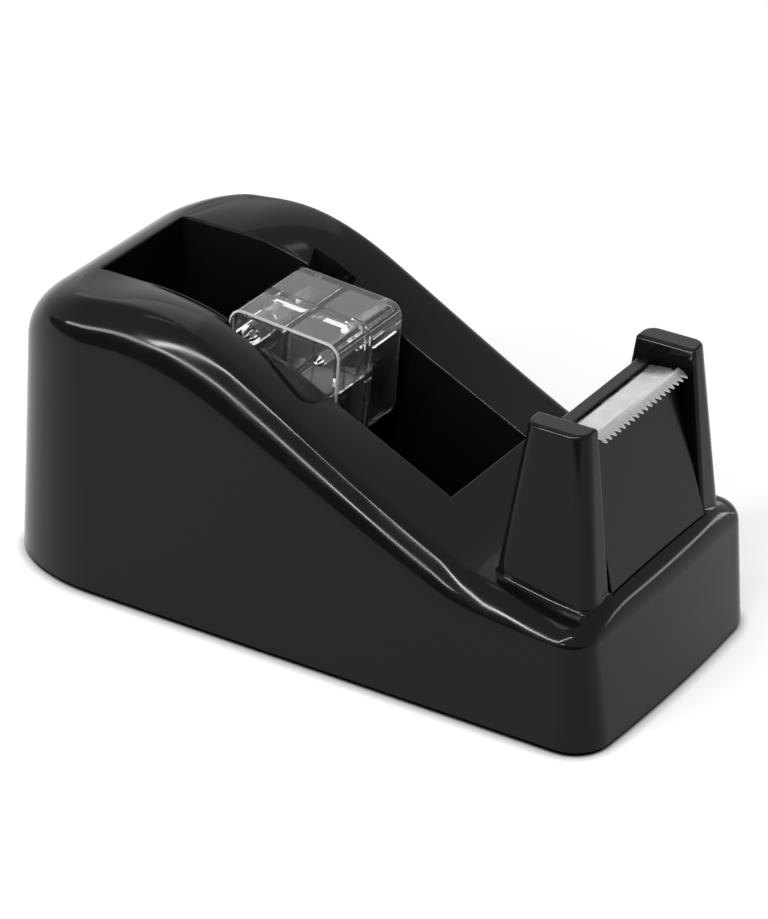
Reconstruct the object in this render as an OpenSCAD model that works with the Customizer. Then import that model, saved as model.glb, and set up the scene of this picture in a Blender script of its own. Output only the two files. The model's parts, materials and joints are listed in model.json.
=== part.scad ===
// Desk tape dispenser: a glossy moulded housing with an open tape well, a clear two-part hub that
// turns in slanted wall slots, a cutter bridge with a toothed steel blade between two posts, and
// a weighted base with a non-slip pad. Millimetres. +X is the cutter end, +Z is up, and the
// origin is on the table under the middle of the body.

/* [Body] */
// Overall length of the housing at its foot
body_length = 105.6; // [98:0.2:125]
// Overall width of the housing at its foot
body_width = 48.4; // [47:0.2:56]
// Height of the well's rim above the table, at the crest
body_height = 46.9; // [45.6:0.1:52]
// Wall thickness of the housing
wall = 2; // [1.6:0.1:2.4]
// Gap between the table and the rim of the housing
rim_lift = 0.6; // [0.4:0.1:1]
// Inward lean of the long sides
side_draft = 0.8; // [0:0.1:1.5]
// Inward lean of the rear wall
rear_draft = 4.7; // [2:0.1:5.5]
// Inward lean of the front wall
front_draft = 4; // [1:0.1:5]
// Length of the rear corners in plan, along the body
rear_corner_length = 19; // [15:0.5:22]
// Width of the rear corners in plan, across the body
rear_corner_width = 12; // [9:0.5:14]
// Radius of the front corners in plan
front_corner = 5.8; // [5:0.1:8]
// How far the front wall bows out at its middle
front_bow = 0.6; // [0.3:0.1:1.5]

/* [Top surface] */
// Distance from the rear wall to where the crest starts to fall
crest_length = 22.9; // [20.5:0.1:26]
// Length of the bend from the crest into the slope
crest_bend = 20.2; // [14:0.2:26]
// Angle of the long slope
slope_angle = 26.1; // [24:0.1:27.5]
// Height of the plinth at the front wall
plinth_height = 21.8; // [20.4:0.1:22.8]
// Fall of the plinth towards the front
plinth_fall = 1.5; // [0:0.1:4]
// Length of the bend from the slope into the plinth
saddle_bend = 8; // [5:0.5:11]
// How far the cheeks rise above the well's rim
cheek_crown = 2.2; // [0:0.1:3]
// Depth of the shoulder along the crest and slope
side_shoulder = 6.4; // [5:0.1:7]
// Width of the shoulder along the sides
shoulder_width = 3.8; // [3:0.1:5]
// Depth of the shoulder round the plinth
plinth_shoulder = 5.2; // [4.6:0.1:5.6]
// Width of the shoulder along the plinth's front
front_shoulder_width = 3.4; // [3:0.1:4.2]
// How far the plinth's top falls towards its sides
plinth_camber = 2.1; // [0.8:0.1:2.4]
// Radius of the shoulder along the rear wall
rear_shoulder = 12; // [9:0.5:13]

/* [Tape well] */
// Length of the well
well_length = 60.6; // [56:0.2:62]
// Width of the well between its walls
well_width = 20.8; // [20:0.1:22]
// Height of the well floor above the table
well_floor = 4.4; // [4:0.1:5]

/* [Hub] */
// Side of the rounded square that carries the tape core
hub_side = 19.1; // [17.5:0.1:19.5]
// Corner radius of the hub
hub_corner = 2.3; // [1.8:0.1:3]
// Width of the hub between its end faces
hub_width = 17; // [15.5:0.1:17.6]
// Distance of the hub's axis from the rear wall
hub_from_rear = 43.3; // [42.3:0.1:44.3]
// Height of the hub's axis above the table
hub_height = 35.3; // [34.6:0.1:36.1]
// How far the hub is turned at rest
hub_turn = 4.5; // [0:0.5:90]
// Thickness of the hub's end plates
hub_plate = 1; // [0.8:0.1:1.4]
// Thickness of the hub's skirt walls
hub_skirt = 1.1; // [0.9:0.1:1.4]
// Thickness of the ribs inside the hub
hub_rib = 0.9; // [0.7:0.1:1.2]
// Width of the rim where the hub's halves meet
hub_seam_rim = 2.2; // [1.8:0.1:2.6]
// Radius of the stub axles
stub_radius = 2.6; // [2.2:0.1:3]
// Depth of the axle slots in the well's walls
slot_depth = 2.8; // [2:0.1:3.4]
// Lean of the axle slots from upright, with the mouth to the rear
slot_lean = 26.5; // [15:0.5:32]
// Outer radius of the sockets that join the halves
socket_radius = 1.6; // [1.5:0.05:1.9]
// Radius of the pegs in the sockets
peg_radius = 0.9; // [0.7:0.05:1]
// Distance of the pegs and sockets from the hub's centre, fore and aft
peg_along = 5.9; // [5:0.1:6.1]
// Distance of the pegs and sockets from the hub's centre, up and down
peg_up = 5.9; // [5:0.1:6.1]

/* [Cutter tower] */
// Height of the post tops above the table
post_top = 46.8; // [45.1:0.1:50]
// Gap between the inner faces of the posts
post_gap = 26.8; // [26:0.1:28]
// Thickness of a post at its top
post_top_thick = 3.9; // [3.4:0.1:4.4]
// Thickness of a post at its foot
post_foot_thick = 5.6; // [5:0.1:5.8]
// Length of a post at its top
post_top_length = 9.7; // [8.8:0.1:10.6]
// Length of a post at its foot
post_foot_length = 16.7; // [15.8:0.1:17.6]
// Distance from the front wall to the front of a post's top
post_top_back = 6.6; // [6:0.1:7.6]
// Distance from the front wall to the front of a post's foot
post_foot_back = 4; // [3.6:0.1:4.8]
// Radius of the posts' outer upright corners
post_corner = 2; // [1.2:0.1:2.3]
// Radius of the edges round the posts' tops
post_edge = 0.6; // [0.4:0.1:0.9]

/* [Cutter bridge and blade] */
// Height of the bridge bar above the table
bridge_top = 44.5; // [43.6:0.1:45]
// Depth of the bridge bar behind the blade
bar_depth = 2.3; // [2:0.1:3]
// Wall thickness of the bridge
bridge_wall = 1.5; // [1.2:0.1:1.8]
// How far each side of the front panel draws in at its top
panel_taper = 1.6; // [0.5:0.1:2.2]
// Number of teeth on the blade
tooth_count = 19; // [16:1:20]
// Distance from tooth to tooth
tooth_pitch = 1.25; // [1.1:0.05:1.3]
// Depth of the teeth
tooth_depth = 1; // [0.7:0.1:1.1]
// Thickness of the blade
blade_thick = 0.4; // [0.3:0.05:0.5]
// Length of the blade's flat plate
plate_length = 5.1; // [4.6:0.1:5.4]
// Length of the toothed lip, teeth included
lip_length = 1.9; // [1.6:0.1:2]

/* [Base] */
// Thickness of the non-slip pad
pad_thick = 1; // [0.8:0.1:1.4]
// Thickness of the base plate
base_thick = 1.6; // [1.2:0.1:2]
// Inset of the pad from the edge of the base plate
pad_inset = 1.5; // [1:0.1:3]
// Radius of the screw bosses
boss_radius = 3.2; // [3:0.1:3.6]
// Radius of the screw shanks
screw_radius = 1.25; // [1:0.05:1.4]
// Radius of the screw heads
screw_head_radius = 2.4; // [2.1:0.1:2.7]
// Height of the screw heads
screw_head_height = 1; // [0.8:0.1:1.1]
// Length of the screws under the head
screw_length = 9; // [8:0.5:10]
// Distance of the front screws from the front wall
front_screw_in = 8; // [7.5:0.1:9]
// Distance of the rear screws from the rear wall
rear_screw_in = 9; // [8.5:0.1:10]
// Distance of the front screws from the foot of the side walls
front_screw_edge = 7.7; // [7.2:0.1:9.2]
// Distance of the rear screws from the foot of the side walls
rear_screw_edge = 8.2; // [7.7:0.1:9.2]

/* [Weights] */
// Height of the weights in the cheeks
cheek_weight_height = 17; // [12:0.5:18]
// Length of the weights in the cheeks
cheek_weight_length = 52; // [44:0.5:56]
// Height of the weight under the plinth
front_weight_height = 11.5; // [8:0.5:12]
// Radius of the weights' upright edges
weight_edge = 1.5; // [0.5:0.1:2]

/* [Clearances] */
// Gap between a fixed piece and its seat
fit_gap = 0.15; // [0.1:0.05:0.25]
// Radial gap of a turning or screwed piece in its hole
running_gap = 0.08; // [0.05:0.01:0.1]
// End gap between the hub's axles and the slots
end_gap = 0.3; // [0.2:0.05:0.5]
// Gap between a weight and the walls round it
weight_gap = 0.6; // [0.4:0.1:0.8]

/* [Hidden] */

$fn = 48;
eps = 0.01;
// How far cuts reach past what they cut.
clear = 10;
rear_x = -body_length / 2;
front_x = body_length / 2;
hub_x = rear_x + hub_from_rear;

// ---- Top surface: height over the table as a function of the place along the body ----

// A bend from level to the slope m between a and b, as the height that it adds at x.
function bend(x, a, b, m) =
    x <= a ? 0 :
    x >= b ? m * (x - (a + b) / 2) :
    m * (x - a) * (x - a) / (2 * (b - a));

slope_m = tan(slope_angle);
plinth_m = tan(plinth_fall);
crest_end = rear_x + crest_length;
crest_mid = crest_end + crest_bend / 2;
// Place where the slope and the plinth would meet without the bend between them.
saddle_x = front_x
    - (plinth_height - body_height + slope_m * (front_x - crest_mid)) / (slope_m - plinth_m);

function top_z(x) =
    body_height
    + bend(x, crest_end, crest_end + crest_bend, -slope_m)
    + bend(x, saddle_x - saddle_bend / 2, saddle_x + saddle_bend / 2, slope_m - plinth_m);

// The cheeks' crown along the body: none at the rear, full over the crest's bend, none at the saddle.
crown_from = rear_x + 6.8;
crown_to = saddle_x - saddle_bend;
// The crown starts this far outside the well and is full where the shoulder starts.
crown_lip = 0.3;
crown_inner = well_width / 2 + crown_lip;
crown_outer = body_width / 2 - body_height / 2 * tan(side_draft) - shoulder_width;

// The plinth's top is level this far from the middle, and falls towards its sides from there.
camber_inner = 12;

function smooth(t) = let (s = max(0, min(1, t))) s * s * (3 - 2 * s);

// Height that the crown adds, and the plinth's camber takes away, at a place in plan.
function crown(x, y) =
    let (
        along = x < crest_mid
            ? smooth((x - crown_from) / (crest_mid - crown_from))
            : smooth((crown_to - x) / (crown_to - crest_mid)),
        short = 1 - max(0, min(1, (abs(y) - crown_inner) / (crown_outer - crown_inner))),
        front = smooth((x - saddle_x) / (front_x - front_corner - saddle_x)),
        side = max(0, min(1, (abs(y) - camber_inner) / (crown_outer - camber_inner)))
    )
    cheek_crown * along * (1 - short * short) - plinth_camber * front * side * side;

// Shoulder depth along the body: full on the crest, smaller at the plinth.
shoulder_start = saddle_x - 1.6 * saddle_bend;
function side_shoulder_at(x) =
    side_shoulder
    + (plinth_shoulder - side_shoulder)
    * max(0, min(1, (x - shoulder_start) / (front_x - front_corner - shoulder_start)));

// ---- Skin of the housing ----

// One half outline in plan, from the rear wall along the near side to the front wall's middle.
// Each entry is [x, y, turn], where turn is the direction of the wall: 0 side, 90 rear, -90 front.
// The outline is drawn in by ir at the rear, is at the sides and jf at the front.
function half_outline(ir, is, jf, corner_steps, side_steps, bow_steps) =
    let (
        rx = rear_x + ir,
        fx = front_x - front_bow - jf,
        hw = body_width / 2 - is,
        a = max(0.5, rear_corner_length - ir),
        b = max(0.5, rear_corner_width - is),
        c = max(0.4, front_corner - max(is, jf)),
        side_from = rx + a,
        side_to = fx - c
    )
    concat(
        [for (i = [0:corner_steps - 1])
            let (t = 90 * i / corner_steps)
            [rx + a * (1 - cos(t)), -(hw - b) - b * sin(t), 90 - t]],
        [for (i = [0:side_steps])
            [side_from + (side_to - side_from) * i / side_steps, -hw, 0]],
        [for (i = [1:ceil(corner_steps / 2)])
            let (t = 90 * i / ceil(corner_steps / 2))
            [side_to + c * sin(t), -(hw - c) - c * cos(t), -t]],
        [for (i = [1:bow_steps])
            let (s = i / bow_steps)
            [fx + front_bow * (1 - (1 - s) * (1 - s)), -(hw - c) * (1 - s), -90]]
    );

// Shoulder depth for a wall that faces turn at x.
function shoulder_at(x, turn, less) =
    let (
        s = side_shoulder_at(x),
        e = turn > 0 ? rear_shoulder : plinth_shoulder
    )
    s * cos(turn) * cos(turn) + e * sin(turn) * sin(turn) - less;

// One ring of the skin. lift is 0 at the end of the wall and 90 at the top surface.
function skin_ring(lift, inset, steps) =
    let (
        zs = body_height / 2,
        rs = shoulder_width - inset,
        rr = rear_shoulder - inset,
        rf = front_shoulder_width - inset / 2,
        k = 1 - cos(lift),
        half = half_outline(
            inset + (body_height - rear_shoulder) * tan(rear_draft) + rr * k,
            inset + zs * tan(side_draft) + rs * k,
            inset + plinth_height * tan(front_draft) + rf * k,
            steps[0], steps[1], steps[2])
    )
    [for (p = half)
        let (r = shoulder_at(p[0], p[2], p[2] < 0 ? inset / 2 : inset))
        [p[0], p[1], top_z(p[0]) + crown(p[0], p[1]) * sin(lift) - inset - r * (1 - sin(lift))]];

// A ring of the top surface. share is 0 at the shoulder and 1 beside the well.
function cap_ring(share, inset, steps) =
    let (
        draw_x = 1 - cap_draw * share,
        draw_y = 1 - (1 - crown_inner / crown_outer) * share
    )
    [for (p = skin_ring(90, inset, steps))
        let (x = p[0] * draw_x, y = p[1] * draw_y)
        [x, y, top_z(x) + crown(x, y) - inset]];

// Share of its length by which the last ring of the top surface draws in at its ends.
cap_draw = 0.01;

function foot_ring(z, inset, steps) =
    [for (p = half_outline(
            inset + z * tan(rear_draft), inset + z * tan(side_draft),
            inset + z * tan(front_draft), steps[0], steps[1], steps[2]))
        [p[0], p[1], z]];

// The closed skin, drawn in by inset, from bottom up to the top surface. rounds and cap_rounds are
// the numbers of steps over the shoulder and over the crown.
module skin(inset, bottom, steps, rounds, cap_rounds) {
    rings = concat(
        [foot_ring(bottom, inset, steps)],
        [for (j = [0:rounds]) skin_ring(90 * j / rounds, inset, steps)],
        [for (j = [1:cap_rounds]) cap_ring(j / cap_rounds, inset, steps)]);
    n = len(rings[0]);
    m = len(rings);
    // The near points run 0 .. n-1 in each ring, then the far ones n .. 2n-2 back to the rear.
    ring_size = 2 * n - 1;
    points = [for (ring = rings, k = [0:ring_size - 1])
        k < n ? ring[k] : let (p = ring[ring_size - 1 - k]) [p[0], -p[1], p[2]]];
    walls = [for (j = [0:m - 2], k = [0:ring_size - 1])
        let (
            a = j * ring_size + k,
            b = j * ring_size + (k + 1) % ring_size,
            c = a + ring_size,
            d = b + ring_size
        )
        each [[a, c, d], [a, d, b]]];
    base = [for (k = [0:n - 2])
        let (a = k, b = k + 1, c = ring_size - 1 - k, d = ring_size - 2 - k)
        each b == d ? [[a, b, c]] : [[a, b, d], [a, d, c]]];
    cap_start = (m - 1) * ring_size;
    cap = [for (face = base) [cap_start + face[0], cap_start + face[2], cap_start + face[1]]];
    polyhedron(points = points, faces = concat(walls, base, cap), convexity = 8);
}

// ---- Tape well and axle slots ----

well_from = hub_x - well_length / 2;
well_to = hub_x + well_length / 2;
above = body_height + clear;

module well_space() {
    translate([well_from, -well_width / 2, well_floor])
        cube([well_length, well_width, above]);
}

module well_block() {
    translate([well_from - wall, -well_width / 2 - wall, -eps])
        cube([well_length + 2 * wall, well_width + 2 * wall, above]);
}

// A slot for a stub axle, as a stadium that runs up and back from its round seat.
module slot_shape(radius, run) {
    circle(r = radius);
    rotate(slot_lean)
        translate([-radius, 0])
            square([2 * radius, run]);
}

slot_radius = stub_radius + running_gap;
// The slots run along their lean past the top surface.
slot_run = (body_height + cheek_crown - hub_height) / cos(slot_lean) + clear / 2;

module slot_pair(grow, depth) {
    for (side = [-1, 1])
        translate([hub_x, side > 0 ? depth : -eps, hub_height])
            rotate([90, 0, 0])
                linear_extrude(depth + eps)
                    slot_shape(slot_radius + grow, slot_run);
}

module axle_slots() {
    slot_pair(0, well_width / 2 + slot_depth);
}

module axle_blocks() {
    half = well_width / 2 + slot_depth + wall;
    translate([hub_x, half, hub_height])
        rotate([90, 0, 0])
            linear_extrude(2 * half)
                slot_shape(slot_radius + wall, slot_run);
}

// ---- Cutter tower ----

post_inner = post_gap / 2;
post_root = top_z(front_x - post_foot_back) - plinth_camber - wall / 2;
foot_front = front_x - post_foot_back;
foot_rear = foot_front - post_foot_length;
top_front = front_x - post_top_back;
top_rear = top_front - post_top_length;
post_inner_corner = 0.5;

// One post on the side that side gives: 1 far, -1 near.
module post(side) {
    // Corners as [front, rear, outer y, height, inset of the edge].
    levels = [
        [foot_front, foot_rear, post_inner + post_foot_thick, post_root, 0],
        [top_front, top_rear, post_inner + post_top_thick, post_top - post_edge, 0],
        [top_front, top_rear, post_inner + post_top_thick, post_top - post_edge * 0.3,
            post_edge * 0.3],
        [top_front, top_rear, post_inner + post_top_thick, post_top - eps, post_edge]
    ];
    hull()
        for (l = levels, end = [0, 1]) {
            out = post_corner - l[4] / 2;
            in = post_inner_corner;
            x_out = end == 0 ? l[0] - l[4] - out : l[1] + l[4] + out;
            x_in = end == 0 ? l[0] - l[4] - in : l[1] + l[4] + in;
            translate([x_out, side * (l[2] - l[4] - out), l[3]])
                cylinder(r = out, h = eps, $fn = 32);
            translate([x_in, side * (post_inner + l[4] + in), l[3]])
                cylinder(r = in, h = eps, $fn = 16);
        }
}

// Level seat for the bridge, sunk into the plinth between the posts: its depth, and how far it
// reaches past the front of the posts' feet and stops short of their rear.
seat_sink = 0.8;
seat_reach = 0.3;
seat_short = 1.2;
seat_z = top_z(front_x - post_foot_back) - seat_sink;
seat_front = foot_front + seat_reach;
seat_rear = foot_rear + seat_short;
seat_half = post_inner;

module bridge_seat() {
    translate([seat_rear, -seat_half, seat_z])
        cube([seat_front - seat_rear, 2 * seat_half, above]);
}

module seat_block() {
    translate([seat_rear - wall, -seat_half - wall, seat_z - wall])
        cube([seat_front - seat_rear + 2 * wall, 2 * (seat_half + wall), above]);
}

// ---- Base plate and its screws ----

base_bottom = pad_thick;
base_top = base_bottom + base_thick;
plan_steps = [9, 1, 4];
// Free length of a boss's hole past the screw's point.
point_room = 1.5;
screw_places = [
    for (end = ["front", "rear"], side = [-1, 1])
        end == "front"
            ? [front_x - front_screw_in, side * (body_width / 2 - front_screw_edge)]
            : [rear_x + rear_screw_in, side * (body_width / 2 - rear_screw_edge)]
];

// The housing's plan outline at height z, drawn in by inset on every side.
module plan_outline(z, inset) {
    half = half_outline(
        inset + z * tan(rear_draft), inset + z * tan(side_draft),
        inset + z * tan(front_draft), plan_steps[0], plan_steps[1], plan_steps[2]);
    n = len(half);
    polygon(concat(
        [for (p = half) [p[0], p[1]]],
        [for (k = [n - 2:-1:0]) [half[k][0], -half[k][1]]]));
}

module base_recess() {
    translate([0, 0, -1])
        linear_extrude(base_top + 1)
            plan_outline(base_top, wall);
}

module bosses() {
    for (p = screw_places)
        translate([p[0], p[1], 0])
            cylinder(r = boss_radius, h = above);
}

module boss_holes() {
    for (p = screw_places)
        translate([p[0], p[1], base_top - eps])
            cylinder(r = screw_radius + running_gap, h = screw_length - base_thick + point_room);
}

module base_plate() {
    color("#202122")
        difference() {
            translate([0, 0, base_bottom])
                linear_extrude(base_thick)
                    plan_outline(base_top, wall + fit_gap);
            for (p = screw_places)
                translate([p[0], p[1], base_bottom - eps]) {
                    cylinder(r = screw_radius + running_gap, h = base_thick + 1);
                    cylinder(r = screw_head_radius + fit_gap, h = screw_head_height + fit_gap);
                }
        }
}

module non_slip_pad() {
    color("#141414")
        linear_extrude(pad_thick)
            plan_outline(base_top, wall + fit_gap + pad_inset);
}

// A screw at the place p: a pan head with a cross recess, and a shank with a blunt point.
module screw(p) {
    head_z = base_bottom + fit_gap / 2;
    recess = screw_head_radius * 0.55;
    color("#b8bcc0")
        translate([p[0], p[1], head_z])
            difference() {
                rotate_extrude()
                    polygon([
                        [0, 0],
                        [screw_head_radius * 0.8, 0],
                        [screw_head_radius, screw_head_height * 0.45],
                        [screw_head_radius, screw_head_height],
                        [screw_radius, screw_head_height],
                        [screw_radius, screw_length - screw_radius],
                        [screw_radius * 0.4, screw_length],
                        [0, screw_length]
                    ]);
                for (turn = [0, 90])
                    rotate(turn)
                        translate([-recess, -screw_radius * 0.2, -eps])
                            cube([2 * recess, screw_radius * 0.4, screw_head_height * 0.6]);
            }
}

// ---- Weights ----

// A bar with rounded upright edges between two corners in plan.
module bar(from, to, height) {
    size = to - from;
    translate([from[0], from[1], base_top])
        linear_extrude(height) {
            translate([weight_edge, 0])
                square([size[0] - 2 * weight_edge, size[1]]);
            translate([0, weight_edge])
                square([size[0], size[1] - 2 * weight_edge]);
            for (x = [weight_edge, size[0] - weight_edge], y = [weight_edge, size[1] - weight_edge])
                translate([x, y])
                    circle(r = weight_edge);
        }
}

function weight_reach(height) =
    body_width / 2 - wall - (base_top + height) * tan(side_draft) - weight_gap;

module cheek_weight(side) {
    from_x = rear_x + rear_screw_in + boss_radius + weight_gap;
    in_y = well_width / 2 + wall + weight_gap;
    out_y = weight_reach(cheek_weight_height);
    color("#4b4d50")
        bar(
            [from_x, side > 0 ? in_y : -out_y],
            [from_x + cheek_weight_length, side > 0 ? out_y : -in_y],
            cheek_weight_height);
}

module front_weight() {
    from_x = well_to + wall + weight_gap;
    to_x = front_x - front_screw_in - boss_radius - weight_gap;
    half = weight_reach(front_weight_height);
    color("#4b4d50")
        bar([from_x, -half], [to_x, half], front_weight_height);
}

// ---- Housing ----

module housing() {
    color("#17181a")
        difference() {
            union() {
                skin(0, rim_lift, [9, 26, 4], 6, 4);
                post(-1);
                post(1);
            }
            difference() {
                skin(wall, -1, [6, 12, 2], 3, 2);
                well_block();
                axle_blocks();
                seat_block();
                bosses();
            }
            base_recess();
            well_space();
            axle_slots();
            bridge_seat();
            boss_holes();
            peg_holes();
        }
}

// ---- Cutter bridge ----

bridge_half = post_inner - fit_gap;
bridge_front = seat_front - fit_gap;
bridge_rear = seat_rear + fit_gap;
tip_x = top_front + 0.1;
fold_x = tip_x - lip_length;
blade_rear = fold_x - plate_length;
blade_tuck = 0.8;
bar_front = blade_rear + blade_tuck;
bar_rear = bar_front - bar_depth;
plate_tilt = 6;
lip_tilt = 17;
lip_overhang = 1.1;
// Edge break along the bar's rear, and how far the blade's rear edge lies below the bar.
bar_edge = 0.5;
blade_sink = 0.5;
land_z = bridge_top - blade_thick - blade_sink;
panel_top_x = fold_x - lip_overhang;
bridge_peg_r = 1.5;
bridge_peg_side = 8;
bridge_peg_x = (bridge_front + bridge_rear) / 2;

// Height of the land that the blade lies on.
function land_at(x) = land_z + (x - bar_front) * tan(plate_tilt);

module along_y(half) {
    translate([0, half, 0])
        rotate([90, 0, 0])
            linear_extrude(2 * half)
                children();
}

module bridge_outline() {
    groove_rear = blade_rear - fit_gap;
    polygon([
        [bridge_rear, seat_z],
        [bar_rear, bridge_top - bar_edge],
        [bar_rear + bar_edge, bridge_top],
        [bar_front, bridge_top],
        [bar_front, land_at(bar_front) + blade_thick + fit_gap],
        [groove_rear, land_at(groove_rear) + blade_thick + fit_gap],
        [groove_rear, land_at(groove_rear)],
        [panel_top_x, land_at(panel_top_x)],
        [bridge_front, seat_z]
    ]);
}

module bridge_hollow() {
    roof = land_at(blade_rear) - bridge_wall;
    lean_rear = (bar_rear - bridge_rear) / (bridge_top - seat_z);
    lean_front = (bridge_front - panel_top_x) / (land_at(panel_top_x) - seat_z);
    polygon([
        [bridge_rear + bridge_wall - lean_rear, seat_z - 1],
        [bar_rear - lean_rear * (bridge_top - roof) + bridge_wall, roof],
        [panel_top_x + lean_front * (land_at(panel_top_x) - roof) - bridge_wall, roof],
        [bridge_front + lean_front - bridge_wall, seat_z - 1]
    ]);
}

// Slanted cut beside the panel, so that it draws in towards its top.
module panel_side_cut(side) {
    rise = bridge_top + 1 - seat_z;
    translate([0, 0, seat_z])
        rotate([90, 0, 90])
            translate([0, 0, bridge_rear - 1])
                linear_extrude(body_length)
                    polygon([
                        [side * bridge_half, 0],
                        [side * (bridge_half - panel_taper), rise],
                        [side * (bridge_half + clear), rise],
                        [side * (bridge_half + clear), 0]
                    ]);
}

// Two pegs that run down from the height top through the seat's floor.
module bridge_pegs(radius, top, bottom) {
    for (side = [-1, 1])
        translate([bridge_peg_x, side * bridge_peg_side, bottom])
            cylinder(r = radius, h = top - bottom);
}

module peg_holes() {
    bridge_pegs(bridge_peg_r + running_gap, seat_z + 1, seat_z - wall - 1);
}

module cutter_bridge() {
    color("#1b1c1e") {
        difference() {
            along_y(bridge_half) bridge_outline();
            along_y(bridge_half - panel_taper - bridge_wall) bridge_hollow();
            panel_side_cut(-1);
            panel_side_cut(1);
        }
        bridge_pegs(bridge_peg_r, land_at(blade_rear) - bridge_wall / 2, seat_z - wall);
    }
}

// ---- Cutter blade ----

blade_half = tooth_count * tooth_pitch / 2;
// How far the lip is wider than the plate at each end.
lip_overlap = 0.65;
plate_half = blade_half - lip_overlap;
plate_corner = 1;
tooth_tip = 0.12;

// The blade from the side: a flat plate that rises to a fold, and a lip that falls to the teeth.
module blade_profile() {
    fold_z = land_at(fold_x);
    drop = lip_length * tan(lip_tilt);
    polygon([
        [blade_rear, land_at(blade_rear)],
        [fold_x, fold_z],
        [tip_x, fold_z - drop],
        [tip_x, fold_z - drop + blade_thick * 0.6],
        [fold_x, fold_z + blade_thick],
        [blade_rear, land_at(blade_rear) + blade_thick]
    ]);
}

// The blade from above.
module blade_plan() {
    difference() {
        union() {
            translate([blade_rear, -plate_half])
                square([plate_length - plate_corner, 2 * plate_half]);
            translate([blade_rear, -plate_half + plate_corner])
                square([plate_length + 0.2, 2 * (plate_half - plate_corner)]);
            for (side = [-1, 1])
                translate([fold_x - plate_corner, side * (plate_half - plate_corner)])
                    circle(r = plate_corner);
            translate([fold_x, -blade_half])
                square([lip_length, 2 * blade_half]);
        }
        for (i = [0:tooth_count])
            translate([tip_x, (i - tooth_count / 2) * tooth_pitch])
                polygon([
                    [-tooth_depth, 0],
                    [0, (tooth_pitch - tooth_tip) / 2],
                    [1, (tooth_pitch - tooth_tip) / 2],
                    [1, -(tooth_pitch - tooth_tip) / 2],
                    [0, -(tooth_pitch - tooth_tip) / 2]
                ]);
    }
}

module cutter_blade() {
    color("#d9dbdd")
        intersection() {
            along_y(blade_half + 1) blade_profile();
            translate([0, 0, seat_z])
                linear_extrude(above) blade_plan();
        }
}

// ---- Hub ----

half_width = hub_width / 2;
axle_end = well_width / 2 + slot_depth - end_gap;
rim_thick = hub_plate;
// How far the pegs reach into the other half, and the free length before them.
peg_reach = 3;
peg_room = 0.5;

module rounded_square(side, corner) {
    square([side - 2 * corner, side], center = true);
    square([side, side - 2 * corner], center = true);
    for (x = [-1, 1], y = [-1, 1])
        translate([x, y] * (side / 2 - corner))
            circle(r = corner);
}

module square_ring(side, corner, width) {
    difference() {
        rounded_square(side, corner);
        rounded_square(side - 2 * width, max(0.3, corner - width));
    }
}

// Places a flat shape across the hub, from the distance from out to the distance to.
module across_hub(from, to) {
    translate([0, -from, 0])
        rotate([90, 0, 0])
            linear_extrude(to - from)
                children();
}

// Heights over the axis where the skirt's two windows end.
window_low = 1.6;
window_high = 5.3;

module skirt_window(side, top) {
    bottom = -hub_side / 2 + hub_skirt;
    translate([side > 0 ? hub_side / 2 - hub_corner : -hub_side, -half_width + hub_plate, bottom])
        cube([hub_side, half_width - hub_plate - rim_thick, top - bottom]);
}

// The half on the near side, about the hub's own axis. The far half is the same piece turned.
module hub_half() {
    color([0.86, 0.9, 0.93, 0.45])
        difference() {
            union() {
                across_hub(half_width - hub_plate, half_width)
                    rounded_square(hub_side, hub_corner);
                difference() {
                    across_hub(rim_thick, half_width - hub_plate)
                        square_ring(hub_side, hub_corner, hub_skirt);
                    skirt_window(1, window_low);
                    skirt_window(-1, window_high);
                }
                across_hub(0, rim_thick)
                    square_ring(hub_side, hub_corner, hub_seam_rim);
                across_hub(fit_gap, half_width - hub_plate)
                    square([hub_rib, hub_side - hub_skirt], center = true);
                across_hub(fit_gap, half_width - hub_plate)
                    square([hub_side - hub_skirt, hub_rib], center = true);
                across_hub(fit_gap, half_width - hub_plate)
                    translate([-peg_along, peg_up])
                        circle(r = socket_radius);
                across_hub(-peg_reach, half_width - hub_plate)
                    translate([peg_along, peg_up])
                        circle(r = peg_radius);
                across_hub(half_width - hub_plate, axle_end)
                    circle(r = stub_radius);
            }
            across_hub(-1, peg_reach + peg_room)
                translate([-peg_along, peg_up])
                    circle(r = peg_radius + fit_gap / 2);
        }
}

module hub_place() {
    translate([hub_x, 0, hub_height])
        rotate([0, hub_turn, 0])
            children();
}

module hub_half_near() {
    hub_place() hub_half();
}

module hub_half_far() {
    hub_place() rotate(180) hub_half();
}

housing();
cutter_bridge();
cutter_blade();
hub_half_near();
hub_half_far();
base_plate();
non_slip_pad();
cheek_weight(-1);  // weight_near
cheek_weight(1);  // weight_far
front_weight();  // weight_front
screw(screw_places[0]);  // screw_front_near
screw(screw_places[1]);  // screw_front_far
screw(screw_places[2]);  // screw_rear_near
screw(screw_places[3]);  // screw_rear_far
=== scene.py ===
"""Desk tape dispenser: moulded housing, clear hub, steel cutter and weighted base, in a studio."""

import json
from math import acos, cos, pi, radians, sin, sqrt, tan

import bmesh
import bpy
from bpy.props import FloatProperty, FloatVectorProperty, IntProperty, PointerProperty
from bpy.types import Operator, Panel, PropertyGroup
from mathutils import Matrix, Vector


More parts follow.
